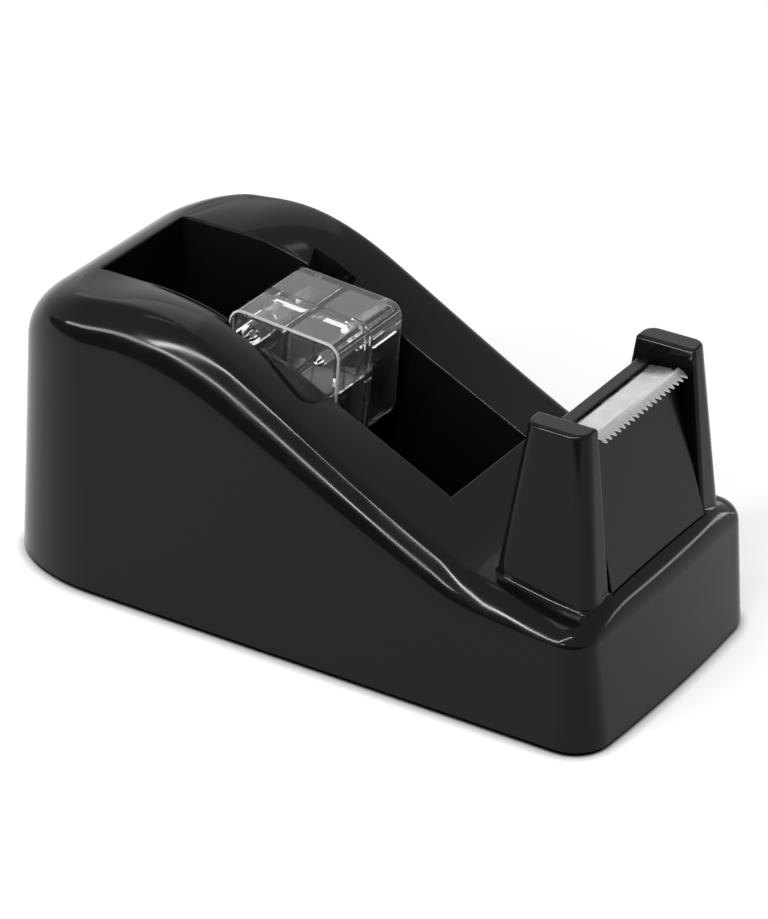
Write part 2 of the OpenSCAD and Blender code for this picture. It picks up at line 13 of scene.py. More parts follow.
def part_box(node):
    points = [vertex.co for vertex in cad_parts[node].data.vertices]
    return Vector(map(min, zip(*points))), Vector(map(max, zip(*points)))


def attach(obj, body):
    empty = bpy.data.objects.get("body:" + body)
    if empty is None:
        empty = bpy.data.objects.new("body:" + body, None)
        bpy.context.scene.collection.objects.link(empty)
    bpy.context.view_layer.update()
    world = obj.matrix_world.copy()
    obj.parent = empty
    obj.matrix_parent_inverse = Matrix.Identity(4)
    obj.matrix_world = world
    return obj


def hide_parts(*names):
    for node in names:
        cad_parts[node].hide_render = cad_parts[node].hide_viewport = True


bl_info = {
    "name": "Desk tape dispenser",
    "version": (1, 0, 0),
    "blender": (4, 5, 0),
    "location": "View3D > Sidebar > Dispenser",
    "description": "Builds the housing, hub, cutter and base of a desk tape dispenser",
    "category": "Object",
}

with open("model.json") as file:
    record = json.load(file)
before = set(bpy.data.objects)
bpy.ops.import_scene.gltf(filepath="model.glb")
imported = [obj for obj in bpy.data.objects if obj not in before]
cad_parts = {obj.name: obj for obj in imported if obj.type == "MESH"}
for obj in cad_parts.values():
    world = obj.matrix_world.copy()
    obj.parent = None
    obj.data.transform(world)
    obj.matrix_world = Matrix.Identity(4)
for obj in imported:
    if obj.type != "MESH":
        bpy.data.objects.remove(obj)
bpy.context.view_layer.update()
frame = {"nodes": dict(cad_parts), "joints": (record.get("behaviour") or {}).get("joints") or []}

MM = 0.001
# Edges that turn by more than this are kept sharp, or are given a rounded edge.
SHARP = radians(32)
# How far cutting pieces reach over the crest and under the table.
ABOVE = 10 * MM
BELOW = 1 * MM
# Points this close are merged: those of a copy or a loft, and those that a cut leaves.
TOUCH = 0.001 * MM
CUT_TOUCH = 0.0015 * MM
# Edges this short are closed after a cut.
CUT_SLIVER = 0.0005 * MM


# ---- Properties ----


def length(name, text, value):
    """A size given in millimetres."""
    return FloatProperty(
        name=name, description=text, default=value * MM, unit="LENGTH", precision=5
    )


def angle(name, text, value):
    """An angle given in degrees."""
    return FloatProperty(name=name, description=text, default=radians(value), unit="ROTATION")


def colour(name, text, value):
    """A colour with its shares of red, green and blue."""
    return FloatVectorProperty(
        name=name, description=text, default=value, subtype="COLOR", size=3, min=0.0, max=1.0
    )


def share(name, text, value):
    """A value from 0 to 1."""
    return FloatProperty(name=name, description=text, default=value, min=0.0, max=1.0)


class DispenserHousing(PropertyGroup):
    """Sizes of the housing's outer form. Its overall length and width come from the frame."""

    wall: length("Wall", "Thickness of the housing's wall", 2)
    foot_round: length("Foot edge", "Radius of the edge round the foot", 0.35)
    side_draft: angle("Side draft", "Inward lean of the long sides", 0.8)
    rear_draft: angle("Rear draft", "Inward lean of the rear wall", 4.7)
    front_draft: angle("Front draft", "Inward lean of the front wall", 4)
    rear_corner_length: length("Rear corner length", "Rear corner along the body", 19)
    rear_corner_width: length("Rear corner width", "Rear corner across the body", 12)
    front_corner: length("Front corner", "Radius of the front corners in plan", 5.8)
    front_bow: length("Front bow", "How far the front wall bows out", 0.6)
    crest_height: length("Crest height", "Height of the well's rim at the crest", 46.9)
    crest_length: length("Crest length", "From the rear wall to where the crest falls", 22.9)
    crest_bend: length("Crest bend", "Length of the bend into the slope", 20.2)
    slope_angle: angle("Slope", "Angle of the long slope", 26.1)
    plinth_height: length("Plinth height", "Height of the plinth at the front wall", 21.8)
    plinth_fall: angle("Plinth fall", "Fall of the plinth towards the front", 1.5)
    saddle_bend: length("Saddle bend", "Length of the bend into the plinth", 8)
    cheek_crown: length("Cheek crown", "How far the cheeks rise above the well's rim", 2.2)
    crown_start: length("Crown start", "From the rear wall to where the crown starts", 6.8)
    crown_lip: length("Crown lip", "Flat strip between the well and the crown", 0.3)
    rim_strip: length("Rim strip", "Strip between the rear shoulder and the well's rim", 0.5)
    side_shoulder: length("Side shoulder", "Depth of the shoulder along the sides", 6.4)
    shoulder_width: length("Shoulder width", "Width of the shoulder along the sides", 3.8)
    plinth_shoulder: length("Plinth shoulder", "Depth of the shoulder round the plinth", 5.2)
    front_width: length("Front shoulder", "Width of the shoulder along the plinth's front", 3.4)
    camber: length("Plinth camber", "How far the plinth's top falls towards its sides", 2.1)
    camber_start: length("Camber start", "From the middle to where the plinth starts to fall", 12)
    rear_shoulder: length("Rear shoulder", "Radius of the shoulder at the rear wall", 12)
    boss_radius: length("Screw boss", "Radius of the bosses that the screws bite into", 3.2)
    boss_hole: length("Screw hole", "Radius of the holes in the bosses", 1.33)
    boss_depth: length("Screw hole depth", "Depth of the holes in the bosses", 8.9)


class DispenserWell(PropertyGroup):
    """Sizes of the tape well and its axle slots."""

    length: length("Length", "Length of the well", 60.6)
    width: length("Width", "Width of the well", 20.8)
    floor: length("Floor", "Height of the well's floor", 4.4)
    rim: length("Rim edge", "Radius of the edge round the well's mouth", 0.3)
    foot: length("Foot", "Radius between the well's walls and floor", 0.6)
    slot_radius: length("Slot radius", "Radius of an axle slot's seat", 2.68)
    slot_depth: length("Slot depth", "Depth of the axle slots", 2.8)
    slot_lean: angle("Slot lean", "Lean of the slots towards the rear", 26.5)


class DispenserPosts(PropertyGroup):
    """Sizes of the two cutter posts and the seat between them."""

    top: length("Top", "Height of the posts' tops", 46.8)
    gap: length("Gap", "Gap between the posts", 26.8)
    top_thick: length("Thickness at the top", "Thickness of a post at its top", 3.9)
    foot_thick: length("Thickness at the foot", "Thickness of a post at its foot", 5.6)
    top_length: length("Length at the top", "Length of a post at its top", 9.7)
    foot_length: length("Length at the foot", "Length of a post at its foot", 16.7)
    top_back: length("Top set-back", "From the front wall to a post's top", 6.6)
    foot_back: length("Foot set-back", "From the front wall to a post's foot", 4)
    corner: length("Outer corner", "Radius of the outer upright corners", 2)
    inner_corner: length("Inner corner", "Radius of the inner upright corners", 0.5)
    edge: length("Top edge", "Radius of the edges round the tops", 0.6)
    fillet: length("Fillet", "Radius between the posts and the plinth", 0.6)
    seat_sink: length("Seat depth", "How far the bridge's seat lies below the plinth", 0.8)
    seat_reach: length("Seat reach", "How far the seat passes the posts' front", 0.3)
    seat_short: length("Seat rear", "How far the seat stops short of the posts' rear", 1.2)
    peg_hole: length("Peg hole", "Radius of the holes for the bridge's pegs", 1.58)
    peg_side: length("Peg side", "From the middle to a peg hole", 8)


class DispenserHub(PropertyGroup):
    """Sizes of the clear hub, which is made of two equal halves."""

    side: length("Side", "Width across the hub's flat sides", 19.1)
    corner: length("Corner", "Radius of the hub's corners", 2.3)
    half: length("Half", "Length of one half without its axle", 8.5)
    turn: angle("Turn", "How far the hub stands turned on its axle", 4.5)
    plate: length("Plate", "Thickness of the end plates and of the rims at the seam", 1)
    skirt: length("Skirt", "Thickness of the wall round the hub", 1.1)
    rib: length("Rib", "Thickness of the crossed ribs", 0.9)
    seam_rim: length("Seam rim", "Width of the rim at the seam", 2.2)
    window_low: length("Low window", "Height over the axle where the front window ends", 1.6)
    window_high: length("High window", "Height over the axle where the rear window ends", 5.3)
    stub: length("Axle", "Radius of the stub axles", 2.6)
    socket: length("Socket", "Radius of the socket", 1.6)
    peg: length("Peg", "Radius of the peg", 0.9)
    peg_side: length("Peg side", "From the axle to peg and socket along the hub", 5.9)
    peg_up: length("Peg height", "From the axle up to peg and socket", 5.9)
    peg_reach: length("Peg reach", "How far the peg enters the other half", 3)
    peg_room: length("Peg room", "Depth of the socket past the peg", 0.5)
    play: length("Play", "Gap between the halves' ribs, and round the peg", 0.15)
    seam: length("Seam", "Half the hairline gap between the two halves", 0.02)
    edge: length("Edge", "Radius of the outer edges", 0.35)
    # The broken inner edges carry a painted highlight.
    inner_edge: length("Inner edge", "Width of the worn inner edges", 0.1)
    pocket_corner: length("Pocket corner", "Radius in the corners between walls and ribs", 0.45)


class DispenserSoftening(PropertyGroup):
    """Edge radii of the pieces that keep the frame's form."""

    bridge: length("Bridge edges", "Radius of the bridge's edges", 0.22)
    blade: length("Blade edges", "Radius of the blade's edges", 0.04)
    steps: IntProperty(name="Steps", description="Faces round each edge", default=3, min=1)


class DispenserFinish(PropertyGroup):
    """Colours and surface values of the materials."""

    gloss: colour("Gloss black", "Polished black plastic", (0.0034, 0.0034, 0.0032))
    clear: colour("Clear", "Clear plastic of the hub", (0.965, 0.98, 0.985))
    steel: colour("Steel", "Rolled steel of the blade", (0.5, 0.5, 0.51))
    matt: colour("Matt black", "Matt black plastic of the base plate", (0.014, 0.014, 0.0145))
    rubber: colour("Rubber", "Foam rubber of the pad", (0.011, 0.011, 0.011))
    iron: colour("Iron", "Cast iron of the weights", (0.16, 0.16, 0.17))
    zinc: colour("Zinc", "Zinc plating of the screws", (0.62, 0.62, 0.6))
    glint: share("Glint", "How white the clear plastic mirrors what it faces", 0.3)
    card: colour("Card", "Dark card in front of the object", (0.01, 0.01, 0.01))


class DispenserStudio(PropertyGroup):
    """Camera, lamps and floor."""

    azimuth: angle("Azimuth", "Camera's turn from straight ahead", 32.683)
    elevation: angle("Elevation", "Camera's height as an angle", 29.018)
    distance: length("Distance", "From the camera to what it aims at", 620.5)
    focal: FloatProperty(
        name="Focal length", description="Focal length of the camera", default=162.5
    )
    aim: FloatVectorProperty(
        name="Aim",
        description="Point in the middle of the frame",
        default=(-4.13 * MM, 10.84 * MM, 15.54 * MM),
        unit="LENGTH",
        precision=5,
    )
    surround: share("Surround", "Light from all round on the object", 0.7)
    floor_glow: share("Floor glow", "Share of white that the floor shows in its shadow", 0.56)
    floor_grey: share("Floor grey", "Share of the light that the floor sends back", 0.45)
    # Reach of the painted shade on the floor round the object's foot.
    contact: length("Contact", "Reach of the darker floor at the object's foot", 3.5)
    card_length: length("Card length", "Length of the dark card in front", 1600)
    card_height: length("Card height", "Height of the dark card in front", 46)
    card_back: length("Card distance", "From the middle to the dark card in front", 135)


GROUPS = {
    "housing": DispenserHousing,
    "well": DispenserWell,
    "posts": DispenserPosts,
    "hub": DispenserHub,
    "softening": DispenserSoftening,
    "finish": DispenserFinish,
    "studio": DispenserStudio,
}


def settings(group):
    """The settings of one group on the open scene."""
    return getattr(bpy.context.scene, "dispenser_" + group)


# ---- Form of the housing ----


def mix(a, b, t):
    """The value at t on the way from a to b."""
    return a + (b - a) * t


def quarter(first, steps):
    """Angles over a quarter turn from the first one."""
    return [first + pi / 2 * i / steps for i in range(steps + 1)]


def smooth(t):
    """An even rise from 0 to 1."""
    t = min(1.0, max(0.0, t))
    return t * t * (3 - 2 * t)


def bend(x, start, end, slope):
    """Height that a bend from level to the slope adds at x."""
    if x <= start:
        return 0.0
    if x >= end:
        return slope * (x - (start + end) / 2)
    return slope * (x - start) ** 2 / (2 * (end - start))


class Form:
    """Where the surfaces of the housing lie, from its sizes and the frame's box and joint."""

    # Steps along one half of the outline: rear corner, side, front corner, front wall.
    REAR_STEPS = 28
    SIDE_STEPS = 84
    CORNER_STEPS = 10
    BOW_STEPS = 8
    # Steps from ring to ring, from the foot up the wall and over into the well.
    FOOT_STEPS = 3
    WALL_STEPS = 8
    SHOULDER_STEPS = 16
    CROWN_STEPS = 30
    RIM_STEPS = 4
    WELL_STEPS = 6
    # The shoulder narrows from this many lengths of the saddle's bend before the saddle.
    NARROWING = 1.6
    # The well's rear wall has its outline points over the outer part of its width, from here.
    WELL_REAR_FROM = 0.75
    # Least radii of corners that are drawn in.
    LEAST_REAR = 0.5 * MM
    LEAST_FRONT = 0.4 * MM

    def __init__(self):
        s = self.sizes = settings("housing")
        well = self.well = settings("well")
        posts = self.posts = settings("posts")
        low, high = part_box("housing")
        self.foot = low.z
        self.rear = low.x - low.z * tan(s.rear_draft)
        self.front = high.x + low.z * tan(s.front_draft)
        self.half = high.y + low.z * tan(s.side_draft)
        self.hub = hub_axis()
        self.well_from = self.hub.x - well.length / 2
        self.well_to = self.hub.x + well.length / 2

        self.slope = tan(s.slope_angle)
        self.fall = tan(s.plinth_fall)
        self.crest_end = self.rear + s.crest_length
        self.crest_mid = self.crest_end + s.crest_bend / 2
        drop = s.plinth_height - s.crest_height + self.slope * (self.front - self.crest_mid)
        self.saddle = self.front - drop / (self.slope - self.fall)
        self.narrowing = self.saddle - self.NARROWING * s.saddle_bend

        self.crown_from = self.rear + s.crown_start
        self.crown_to = self.saddle - s.saddle_bend
        self.crown_inner = well.width / 2 + s.crown_lip
        self.crown_outer = self.half - s.crest_height / 2 * tan(s.side_draft) - s.shoulder_width

        # Where the rear wall ends and its shoulder starts, and where that comes out level.
        self.rear_edge = self.rear + (s.crest_height - s.rear_shoulder) * tan(s.rear_draft)
        self.rear_level = self.rear_edge + s.rear_shoulder
        strip = self.well_from - well.rim - s.rim_strip - self.rear_edge
        self.rear_lift = acos(1 - strip / s.rear_shoulder)

        self.post_front = self.front - posts.foot_back
        self.post_rear = self.post_front - posts.foot_length
        self.seat = self.top(self.post_front) - posts.seat_sink

    def top(self, x):
        """Height of the well's rim, and of the plinth, at x."""
        s = self.sizes
        crest = bend(x, self.crest_end, self.crest_end + s.crest_bend, -self.slope)
        start, end = self.saddle - s.saddle_bend / 2, self.saddle + s.saddle_bend / 2
        return s.crest_height + crest + bend(x, start, end, self.slope - self.fall)

    def crown(self, x, y):
        """Height that the cheeks' crown adds at a place in plan."""
        if x < self.crest_mid:
            along = smooth((x - self.crown_from) / (self.crest_mid - self.crown_from))
        else:
            along = smooth((self.crown_to - x) / (self.crown_to - self.crest_mid))
        across = (abs(y) - self.crown_inner) / (self.crown_outer - self.crown_inner)
        short = 1 - min(1.0, max(0.0, across))
        return self.sizes.cheek_crown * along * (1 - short * short) - self.camber(x, y)

    def camber(self, x, y):
        """Height that the plinth's top loses towards its sides."""
        s = self.sizes
        along = smooth((x - self.saddle) / (self.front - s.front_corner - self.saddle))
        across = (abs(y) - s.camber_start) / (self.crown_outer - s.camber_start)
        return s.camber * along * min(1.0, max(0.0, across)) ** 2

    def height(self, x, y):
        """Height of the top surface at a place in plan."""
        return self.top(x) + self.crown(x, y)

    def rear_drop(self, x):
        """Height that the rear shoulder still takes from the top surface at x."""
        radius = self.sizes.rear_shoulder
        return radius - sqrt(radius**2 - max(0.0, self.rear_level - x) ** 2)

    def front_drop(self, x, y):
        """Height that the plinth's front shoulder takes from the top surface."""
        s = self.sizes
        short = min(1.0, abs(y) / (self.half - s.front_corner))
        edge = self.front - s.front_bow * short**2 - s.plinth_height * tan(s.front_draft)
        t = min(1.0, max(0.0, (x - edge) / s.front_width + 1))
        return s.plinth_shoulder * (1 - sqrt(1 - t * t))

    def turns(self):
        """Direction of the wall at each point of the half outline: rear, side, then front."""
        rear = [pi / 2 * (1 - i / self.REAR_STEPS) for i in range(self.REAR_STEPS)]
        corner = [-pi / 2 * i / self.CORNER_STEPS for i in range(1, self.CORNER_STEPS + 1)]
        return rear + [0.0] * (self.SIDE_STEPS + 1) + corner + [-pi / 2] * self.BOW_STEPS

    def spot(self, k, in_rear, in_side, in_front):
        """Place in plan of point k of the half outline, drawn in by the three insets."""
        s = self.sizes
        rear = self.rear + in_rear
        front = self.front - s.front_bow - in_front
        half = self.half - in_side
        long = max(self.LEAST_REAR, s.rear_corner_length - in_rear)
        wide = max(self.LEAST_REAR, s.rear_corner_width - in_side)
        corner = max(self.LEAST_FRONT, s.front_corner - max(in_side, in_front))
        if k < self.REAR_STEPS:
            t = pi / 2 * k / self.REAR_STEPS
            return rear + long * (1 - cos(t)), wide - half - wide * sin(t)
        k -= self.REAR_STEPS
        if k <= self.SIDE_STEPS:
            return mix(rear + long, front - corner, k / self.SIDE_STEPS), -half
        k -= self.SIDE_STEPS
        if k <= self.CORNER_STEPS:
            t = pi / 2 * k / self.CORNER_STEPS
            return front - corner + corner * sin(t), corner - half - corner * cos(t)
        t = (k - self.CORNER_STEPS) / self.BOW_STEPS
        return front + s.front_bow * (1 - (1 - t) ** 2), (corner - half) * (1 - t)

    def shoulder_depth(self, x, turn, less):
        """Depth of the shoulder at x over a wall with the direction turn, made less by less."""
        s = self.sizes
        t = (x - self.narrowing) / (self.front - s.front_corner - self.narrowing)
        side = mix(s.side_shoulder, s.plinth_shoulder, min(1.0, max(0.0, t)))
        end = s.rear_shoulder if turn > 0 else s.plinth_shoulder
        return side * cos(turn) ** 2 + end * sin(turn) ** 2 - less

    def foot_points(self, z, inset):
        """Points round the near half of the walls at height z, drawn in by inset."""
        s = self.sizes
        insets = [inset + z * tan(lean) for lean in (s.rear_draft, s.side_draft, s.front_draft)]
        return [Vector((*self.spot(k, *insets), z)) for k in range(len(self.turns()))]

    def shoulder_points(self, lift, inset):
        """The ring at lift over the shoulder: 0 at the end of the wall, a right angle on top.

        The rear wall's shoulder would come out level inside the well, so it stops short there.
        The plinth's front shoulder takes only half of the inset, as the frame's does.
        """
        s = self.sizes
        points = []
        for k, turn in enumerate(self.turns()):
            short = self.rear_lift / (pi / 2) if turn > 0 else 1.0
            own = lift * mix(1.0, short, sin(turn) ** 2)
            less = 1 - cos(own)
            x, y = self.spot(
                k,
                inset + self.rear_edge - self.rear + (s.rear_shoulder - inset) * less,
                inset
                + s.crest_height / 2 * tan(s.side_draft)
                + (s.shoulder_width - inset) * less,
                inset
                + s.plinth_height * tan(s.front_draft)
                + (s.front_width - inset / 2) * less,
            )
            depth = self.shoulder_depth(x, turn, inset / 2 if turn < 0 else inset)
            rise = self.crown(x, y) * sin(own) - depth * (1 - sin(own))
            points.append(Vector((x, y, self.top(x) - inset + rise)))
        return points

    def well_points(self, offset):
        """The half outline of the well, grown by offset, point for point with the outer one."""
        start, end = self.well_from - offset, self.well_to + offset
        half = self.well.width / 2 + offset
        ends = self.CORNER_STEPS + self.BOW_STEPS
        steps = self.REAR_STEPS
        rear = [(start, -half * mix(self.WELL_REAR_FROM, 1, i / steps)) for i in range(steps)]
        side = [
            (mix(start, end, i / self.SIDE_STEPS), -half) for i in range(self.SIDE_STEPS + 1)
        ]
        front = [(end, -half * (1 - i / ends)) for i in range(1, ends + 1)]
        return rear + side + front


def hub_axis():
    """Middle of the hub, from the joint that it turns on."""
    joint = next(j for j in frame["joints"] if j["name"] == "hub_spin")
    return Vector(joint["pos_m"])


def both_sides(near):
    """A closed ring from its near half, whose last point lies on the middle plane."""
    far = [Vector((p.x, -p.y, p.z)) for p in reversed(near[:-1])]
    return near + far


# ---- Mesh tools ----


def loft(bm, rings):
    """Sweeps a ring of edges through rings of points, with a face over each end."""
    verts = bmesh.ops.create_circle(bm, segments=len(rings[0]), radius=1.0)["verts"]
    ends = [ring_edges(bm, verts)]
    for vert, point in zip(verts, rings[0]):
        vert.co = point
    for ring in rings[1:]:
        made = bmesh.ops.extrude_edge_only(bm, edges=ring_edges(bm, verts))["geom"]
        fresh = {item for item in made if isinstance(item, bmesh.types.BMVert)}
        verts = [
            next(e.other_vert(v) for e in v.link_edges if e.other_vert(v) in fresh) for v in verts
        ]
        for vert, point in zip(verts, ring):
            vert.co = point
    ends.append(ring_edges(bm, verts))
    for edges in ends:
        bmesh.ops.contextual_create(bm, geom=edges)


def ring_edges(bm, verts):
    """The edges between the vertices of a closed ring."""
    return [bm.edges.get((a, b)) for a, b in zip(verts, verts[1:] + verts[:1])]


def finish_mesh(bm, name):
    """Turns a bmesh into an object with its faces outwards."""
    bmesh.ops.recalc_face_normals(bm, faces=bm.faces)
    mesh = bpy.data.meshes.new(name)
    bm.to_mesh(mesh)
    bm.free()
    obj = bpy.data.objects.new(name, mesh)
    bpy.context.scene.collection.objects.link(obj)
    return obj


def lofted(name, rings):
    """An object swept through rings of points."""
    bm = bmesh.new()
    loft(bm, rings)
    return finish_mesh(bm, name)


def block(name, low, high):
    """A box between two corners."""
    bm = bmesh.new()
    bmesh.ops.create_cube(bm, size=1.0)
    low, high = Vector(low), Vector(high)
    bmesh.ops.scale(bm, vec=high - low, verts=bm.verts)
    bmesh.ops.translate(bm, vec=(low + high) / 2, verts=bm.verts)
    return finish_mesh(bm, name)


def rod(name, place, radius, start, end, segments=40):
    """An upright cylinder between two heights."""
    bm = bmesh.new()
    bmesh.ops.create_cone(
        bm, cap_ends=True, segments=segments, radius1=radius, radius2=radius, depth=end - start
    )
    bmesh.ops.translate(bm, vec=(place[0], place[1], (start + end) / 2), verts=bm.verts)
    return finish_mesh(bm, name)


def combine(obj, operation, others):
    """Joins or cuts obj with the others, exactly, removes them and closes hairline gaps."""
    for other in others:
        modifier = obj.modifiers.new(other.name, "BOOLEAN")
        modifier.operation = operation
        modifier.solver = "EXACT"
        modifier.object = other
    depsgraph = bpy.context.evaluated_depsgraph_get()
    mesh = bpy.data.meshes.new_from_object(obj.evaluated_get(depsgraph))
    obj.modifiers.clear()
    obj.data = mesh
    for other in others:
        bpy.data.objects.remove(other)
    bm = bmesh.new()
    bm.from_mesh(mesh)
    bmesh.ops.remove_doubles(bm, verts=bm.verts, dist=CUT_TOUCH)
    bmesh.ops.dissolve_degenerate(bm, dist=CUT_SLIVER, edges=bm.edges)
    bm.to_mesh(mesh)
    bm.free()
    return obj


def shade(obj):
    """Smooth shading that keeps sharp edges sharp and flat faces flat."""
    obj.data.shade_smooth()
    obj.data.set_sharp_from_angle(angle=SHARP)
    normals = obj.modifiers.new("flat faces", "WEIGHTED_NORMAL")
    normals.keep_sharp = True


def soften(bm, radius, steps):
    """Rounds the sharp edges and gives the new faces."""
    edges = [e for e in bm.edges if e.is_manifold and e.calc_face_angle() > SHARP]
    return bmesh.ops.bevel(
        bm,
        geom=edges,
        offset=radius,
        offset_type="OFFSET",
        segments=steps,
        profile=0.5,
        affect="EDGES",
        clamp_overlap=True,
        material=-1,
    )["faces"]


def softened(node, name, radius, steps):
    """A copy of a frame node with small rounded edges, which stands for it."""
    bm = bmesh.new()
    bm.from_mesh(frame["nodes"][node].data)
    bmesh.ops.remove_doubles(bm, verts=bm.verts, dist=TOUCH)
    bmesh.ops.dissolve_limit(
        bm, angle_limit=radians(0.5), verts=bm.verts, edges=bm.edges, use_dissolve_boundaries=False
    )
    soften(bm, radius, steps)
    obj = finish_mesh(bm, name)
    shade(obj)
    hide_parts(node)
    return obj


# ---- Housing ----


def outer_rings(form):
    """Rings from the foot over the walls, shoulders and cheeks, into the well and to its floor."""
    s, well = form.sizes, form.well
    rings = []
    for t in quarter(0.0, form.FOOT_STEPS):
        inset, z = s.foot_round * (1 - sin(t)), form.foot + s.foot_round * (1 - cos(t))
        rings.append(form.foot_points(z, inset))
    foot, wall_end = form.foot_points(form.foot, 0), form.shoulder_points(0, 0)
    # The walls' first ring lies a little above the foot's edge.
    start = s.foot_round / (s.side_shoulder * 4)
    for i in range(1, form.WALL_STEPS + 1):
        t = mix(start, 1, i / form.WALL_STEPS)
        rings.append([a.lerp(b, t) for a, b in zip(foot, wall_end)])
    for t in quarter(0.0, form.SHOULDER_STEPS)[1:]:
        rings.append(form.shoulder_points(t, 0))
    shoulder, mouth = rings[-1], form.well_points(well.rim)
    short = [form.height(p.x, p.y) - p.z for p in shoulder]
    for i in range(1, form.CROWN_STEPS + 1):
        t = i / form.CROWN_STEPS
        ring = []
        for a, b, drop in zip(shoulder, mouth, short):
            x, y = mix(a.x, b[0], t), mix(a.y, b[1], t)
            ring.append(Vector((x, y, form.height(x, y) - mix(drop, form.rear_drop(b[0]), t))))
        rings.append(ring)
    for t in quarter(0.0, form.RIM_STEPS)[1:]:
        plan = form.well_points(well.rim * (1 - sin(t)))
        drops = [well.rim * (1 - cos(t)) + form.rear_drop(x) for x, y in plan]
        rings.append(
            [Vector((x, y, form.height(x, y) - drop)) for (x, y), drop in zip(plan, drops)]
        )
    rim, bottom = rings[-1], well.floor + well.foot
    for i in range(1, form.WELL_STEPS + 1):
        t = i / form.WELL_STEPS
        rings.append([Vector((p.x, p.y, mix(p.z, bottom, t))) for p in rim])
    for t in quarter(0.0, form.FOOT_STEPS)[1:]:
        plan = form.well_points(-well.foot * (1 - cos(t)))
        z = well.floor + well.foot * (1 - sin(t))
        rings.append([Vector((x, y, z)) for x, y in plan])
    return [both_sides(ring) for ring in rings]


# Steps round a post's section and up its side.
POST_CORNER = 6
POST_SIDE = 8
POST_FILLET = 6
POST_RISE = 8
POST_EDGE = 5
LEAST_POST_CORNER = 0.15 * MM


def post_section(form, z, inset):
    """Points and outward directions round a far post's section at height z."""
    p = form.posts
    root = form.top(form.post_front) - form.sizes.camber - form.sizes.wall / 2
    t = (z - root) / (p.top - p.edge - root)
    front = mix(form.post_front, form.front - p.top_back, t) - inset
    rear = mix(form.post_rear, form.front - p.top_back - p.top_length, t) + inset
    inner = p.gap / 2 + inset
    outer = p.gap / 2 + mix(p.foot_thick, p.top_thick, t) - inset
    big, small = p.corner - inset, max(LEAST_POST_CORNER, p.inner_corner - inset)
    corners = [
        (front - small, inner + small, small, -90),
        (front - big, outer - big, big, 0),
        (rear + big, outer - big, big, 90),
        (rear + small, inner + small, small, 180),
    ]
    arcs = []
    for x, y, radius, first in corners:
        outs = [Vector((cos(turn), sin(turn))) for turn in quarter(radians(first), POST_CORNER)]
        arcs.append([(Vector((x, y)) + radius * out, out) for out in outs])
    section = []
    for arc, after in zip(arcs, arcs[1:] + arcs[:1]):
        section.extend(arc)
        end, out = arc[-1]
        for i in range(1, POST_SIDE):
            section.append((end.lerp(after[0][0], i / POST_SIDE), out))
    return section


def post_rings(form, side):
    """Rings of one post from inside the plinth, over the fillet, to its rounded top."""
    p = form.posts

    def on_plinth(lift, grow):
        """The ring that follows the plinth at the height lift, grown by grow."""
        count = len(post_section(form, p.top / 2, 0))
        points = []
        for k in range(count):
            z = form.seat
            # The section narrows with height, so its height on the plinth is found in rounds.
            for _ in range(3):
                place, out = post_section(form, min(z, p.top - p.edge), 0)[k]
                spot = place + out * grow * (1 + min(0.0, out.y))
                z = form.height(spot.x, spot.y) - form.front_drop(spot.x, spot.y) + lift
            points.append(Vector((spot.x, spot.y, z)))
        return points

    # The post starts inside the plinth's wall, and its fillet dips a little into the plinth.
    sink, dip = 0.6 * form.sizes.wall, p.fillet / 12
    rings = [on_plinth(-sink, p.fillet)]
    for t in quarter(0.0, POST_FILLET):
        rings.append(on_plinth(p.fillet * (1 - cos(t)) - dip, p.fillet * (1 - sin(t))))
    foot = rings[-1]
    shoulder = [place for place, out in post_section(form, p.top - p.edge, 0)]
    for i in range(1, POST_RISE + 1):
        ring = []
        for low, high in zip(foot, shoulder):
            ring.append(low.lerp(Vector((high.x, high.y, p.top - p.edge)), i / POST_RISE))
        rings.append(ring)
    for t in quarter(0.0, POST_EDGE)[1:]:
        section = post_section(form, p.top - p.edge, p.edge * (1 - cos(t)))
        z = p.top - p.edge * (1 - sin(t))
        rings.append([Vector((place.x, place.y, z)) for place, out in section])
    return [[Vector((q.x, side * q.y, q.z)) for q in ring] for ring in rings]


def slot_cutter(form, grow, half):
    """A stadium across the well, whose round end seats the hub's axle."""
    well = form.well
    radius = well.slot_radius + grow
    bm = bmesh.new()
    made = bmesh.ops.create_circle(bm, segments=48, radius=radius, cap_ends=True)["verts"]
    reach = form.sizes.crest_height - form.hub.z + 1.2 * ABOVE
    for vert in made:
        if vert.co.y > 0:
            vert.co.y += reach
    bmesh.ops.rotate(bm, matrix=Matrix.Rotation(well.slot_lean, 3, "Z"), verts=bm.verts)
    bmesh.ops.rotate(bm, matrix=Matrix.Rotation(pi / 2, 3, "X"), verts=bm.verts)
    bmesh.ops.translate(bm, vec=form.hub + Vector((0, half, 0)), verts=bm.verts)
    grown = bmesh.ops.extrude_face_region(bm, geom=bm.faces[:])["geom"]
    moved = [item for item in grown if isinstance(item, bmesh.types.BMVert)]
    bmesh.ops.translate(bm, vec=(0, -2 * half, 0), verts=moved)
    return finish_mesh(bm, "slot")


# Steps of the hollow's roof over the shoulder and to its middle line, and that line's share of
# the roof's length.
ROOF_ROUND = 6
ROOF_STEPS = 8
ROOF_LENGTH = 0.96


